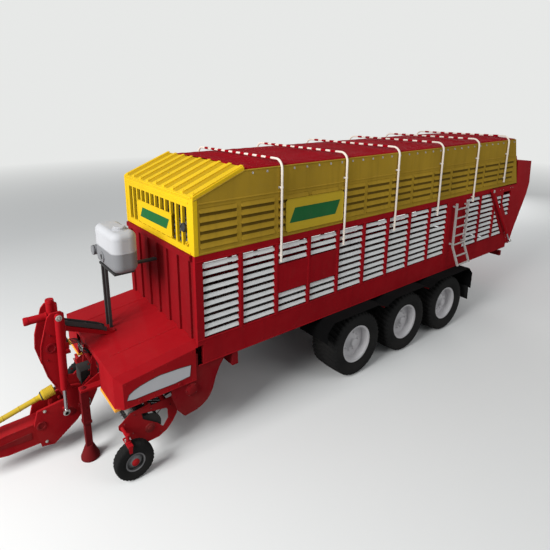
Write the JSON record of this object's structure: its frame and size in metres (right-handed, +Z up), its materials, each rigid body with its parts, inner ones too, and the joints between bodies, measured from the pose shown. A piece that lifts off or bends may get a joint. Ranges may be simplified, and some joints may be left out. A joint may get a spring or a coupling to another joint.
{
  "type": "loader wagon",
  "caption": "Towed three-axle forage loader wagon with slatted load space, pickup, feed rotor, hinged drawbar, parking jack and lifting tailgate.",
  "frame": {"origin": "on the ground, in the middle of the wagon's length and width", "axes": "+X towards the tractor, +Y to the wagon's left, +Z up"},
  "size_m": [12.355, 2.8, 3.972],
  "materials": {
    "red_paint": "gloss paint",
    "yellow_paint": "gloss paint",
    "white_slats": "satin paint",
    "galvanised": "galvanised",
    "tarpaulin": "coated cloth",
    "deck": "worn paint",
    "bare_steel": "worn steel",
    "chrome_rod": "polished",
    "yellow_plastic": "moulded",
    "black_plastic": "moulded",
    "grey_plastic": "moulded",
    "tyre_rubber": "rubber",
    "rim_paint": "satin paint",
    "lamp_red": "clear plastic"
  },
  "bodies": {
    "chassis": {"axles": "red_paint", "chassis_frame": "red_paint", "cross_members": "red_paint", "floor": "deck", "front_roof": "yellow_paint", "front_wall": "red_paint", "gearbox": "bare_steel", "headstock": "red_paint", "hood": "red_paint", "hood_guard": "yellow_paint", "jack_tube": "red_paint", "ladder": "galvanised", "mudguards": "black_plastic", "rear_lamps": "lamp_red", "roof_cover": "tarpaulin", "roof_hoops": "galvanised", "rotor_housing": "red_paint", "scraper_floor": "bare_steel", "side_slats": "white_slats", "side_walls": "red_paint", "tank": "grey_plastic", "tank_frame": "black_plastic", "upper_front": "yellow_paint", "upper_sides": "yellow_paint"},
    "rotor": {"feed_rotor": "bare_steel"},
    "pickup": {"pickup_frame": "red_paint", "stripper_bands": "bare_steel"},
    "reel": {"pickup_reel": "bare_steel"},
    "roller": {"crop_roller": "bare_steel"},
    "jack": {"jack_leg": "red_paint"},
    "drawbar": {"drawbar": "red_paint", "hitch_cup": "bare_steel", "shaft_guard": "yellow_plastic"},
    "drive_shaft": {"drive_shaft": "bare_steel"},
    "ram_barrels": {"ram_barrels": "red_paint"},
    "ram_rods": {"ram_rods": "chrome_rod"},
    "tailgate": {"tailgate": "red_paint", "cheek_slats": "white_slats"},
    "tail_barrels": {"tail_barrels": "red_paint"},
    "tail_rods": {"tail_rods": "chrome_rod"},
    "gauge_wheel_left": {"gauge_tyre_left": "tyre_rubber", "gauge_rim_left": "rim_paint"},
    "wheel_1_left": {"tyre_1_left": "tyre_rubber", "rim_1_left": "rim_paint"},
    "knuckle_1_left": {"knuckle_1_left": "red_paint"},
    "wheel_2_left": {"tyre_2_left": "tyre_rubber", "rim_2_left": "rim_paint"},
    "wheel_3_left": {"tyre_3_left": "tyre_rubber", "rim_3_left": "rim_paint"},
    "knuckle_3_left": {"knuckle_3_left": "red_paint"},
    "gauge_wheel_right": {"gauge_tyre_right": "tyre_rubber", "gauge_rim_right": "rim_paint"},
    "wheel_1_right": {"tyre_1_right": "tyre_rubber", "rim_1_right": "rim_paint"},
    "knuckle_1_right": {"knuckle_1_right": "red_paint"},
    "wheel_2_right": {"tyre_2_right": "tyre_rubber", "rim_2_right": "rim_paint"},
    "wheel_3_right": {"tyre_3_right": "tyre_rubber", "rim_3_right": "rim_paint"},
    "knuckle_3_right": {"knuckle_3_right": "red_paint"}
  },
  "joints": [
    {"name": "steer_1_left", "type": "hinge", "parent": "chassis", "child": "knuckle_1_left", "pos_m": [0.2475, 0.69, 0.592], "axis": [0, 0, 1], "range_deg": [-15, 15]},
    {"name": "wheel_1_left_spin", "type": "hinge", "parent": "knuckle_1_left", "child": "wheel_1_left", "pos_m": [0.2475, 1.068, 0.592], "axis": [0, 1, 0], "continuous": true},
    {"name": "wheel_2_left_spin", "type": "hinge", "parent": "chassis", "child": "wheel_2_left", "pos_m": [-1.1335, 1.068, 0.592], "axis": [0, 1, 0], "continuous": true},
    {"name": "steer_3_left", "type": "hinge", "parent": "chassis", "child": "knuckle_3_left", "pos_m": [-2.5145, 0.69, 0.592], "axis": [0, 0, 1], "range_deg": [-15, 15]},
    {"name": "wheel_3_left_spin", "type": "hinge", "parent": "knuckle_3_left", "child": "wheel_3_left", "pos_m": [-2.5145, 1.068, 0.592], "axis": [0, 1, 0], "continuous": true},
    {"name": "gauge_wheel_left_spin", "type": "hinge", "parent": "pickup", "child": "gauge_wheel_left", "pos_m": [4.2975, 1.15, 0.265], "axis": [0, 1, 0], "continuous": true},
    {"name": "steer_1_right", "type": "hinge", "parent": "chassis", "child": "knuckle_1_right", "pos_m": [0.2475, -0.69, 0.592], "axis": [0, 0, 1], "range_deg": [-15, 15]},
    {"name": "wheel_1_right_spin", "type": "hinge", "parent": "knuckle_1_right", "child": "wheel_1_right", "pos_m": [0.2475, -1.068, 0.592], "axis": [0, 1, 0], "continuous": true},
    {"name": "wheel_2_right_spin", "type": "hinge", "parent": "chassis", "child": "wheel_2_right", "pos_m": [-1.1335, -1.068, 0.592], "axis": [0, 1, 0], "continuous": true},
    {"name": "steer_3_right", "type": "hinge", "parent": "chassis", "child": "knuckle_3_right", "pos_m": [-2.5145, -0.69, 0.592], "axis": [0, 0, 1], "range_deg": [-15, 15]},
    {"name": "wheel_3_right_spin", "type": "hinge", "parent": "knuckle_3_right", "child": "wheel_3_right", "pos_m": [-2.5145, -1.068, 0.592], "axis": [0, 1, 0], "continuous": true},
    {"name": "gauge_wheel_right_spin", "type": "hinge", "parent": "pickup", "child": "gauge_wheel_right", "pos_m": [4.2975, -1.15, 0.265], "axis": [0, 1, 0], "continuous": true},
    {"name": "rotor_spin", "type": "hinge", "parent": "chassis", "child": "rotor", "pos_m": [3.4125, 0, 0.92], "axis": [0, 1, 0], "continuous": true},
    {"name": "pickup_lift", "type": "hinge", "parent": "chassis", "child": "pickup", "pos_m": [3.5025, 0, 0.9], "axis": [0, -1, 0], "range_deg": [0, 14]},
    {"name": "reel_spin", "type": "hinge", "parent": "pickup", "child": "reel", "pos_m": [3.9825, 0, 0.47], "axis": [0, 1, 0], "continuous": true},
    {"name": "roller_spin", "type": "hinge", "parent": "pickup", "child": "roller", "pos_m": [4.2125, 0, 0.76], "axis": [0, 1, 0], "continuous": true},
    {"name": "jack_slide", "type": "slide", "parent": "chassis", "child": "jack", "axis": [0, 0, 1], "range_m": [0, 0.34]},
    {"name": "drawbar_lift", "type": "hinge", "parent": "chassis", "child": "drawbar", "pos_m": [4.6025, 0, 0.69], "axis": [0, -1, 0], "range_deg": [-8, 14]},
    {"name": "shaft_spin", "type": "hinge", "parent": "drawbar", "child": "drive_shaft", "pos_m": [4.9225, 0, 0.925], "axis": [0.9669, 0, -0.2552], "continuous": true},
    {"name": "ram_tilt", "type": "hinge", "parent": "chassis", "child": "ram_barrels", "pos_m": [4.8285, 0, 2.07], "axis": [0, -1, 0], "range_deg": [-3, 3]},
    {"name": "ram_stroke", "type": "slide", "parent": "ram_barrels", "child": "ram_rods", "axis": [0.029, 0, -0.9996], "range_m": [-0.08, 0.05]},
    {"name": "tailgate_lift", "type": "hinge", "parent": "chassis", "child": "tailgate", "pos_m": [-5.3475, 0, 3.42], "axis": [0, 1, 0], "range_deg": [0, 70]},
    {"name": "tail_ram_tilt", "type": "hinge", "parent": "chassis", "child": "tail_barrels", "pos_m": [-4.2575, 0, 2.761], "axis": [0, 1, 0], "range_deg": [0, 53]},
    {"name": "tail_ram_stroke", "type": "slide", "parent": "tail_barrels", "child": "tail_rods", "axis": [-0.6421, 0, -0.7666], "range_m": [0, 1.3]}
  ],
  "couplings": [
    {"joint": "ram_tilt", "follows": "drawbar_lift", "ratio": -0.005},
    {"joint": "ram_stroke", "follows": "drawbar_lift", "m_per_rad": -0.2645},
    {"joint": "tail_ram_tilt", "follows": "tailgate_lift", "ratio": 0.719},
    {"joint": "tail_ram_stroke", "follows": "tailgate_lift", "m_per_rad": 1.007},
    {"joint": "steer_1_right", "follows": "steer_1_left", "ratio": 1},
    {"joint": "steer_3_left", "follows": "steer_1_left", "ratio": -1},
    {"joint": "steer_3_right", "follows": "steer_1_left", "ratio": -1}
  ]
}
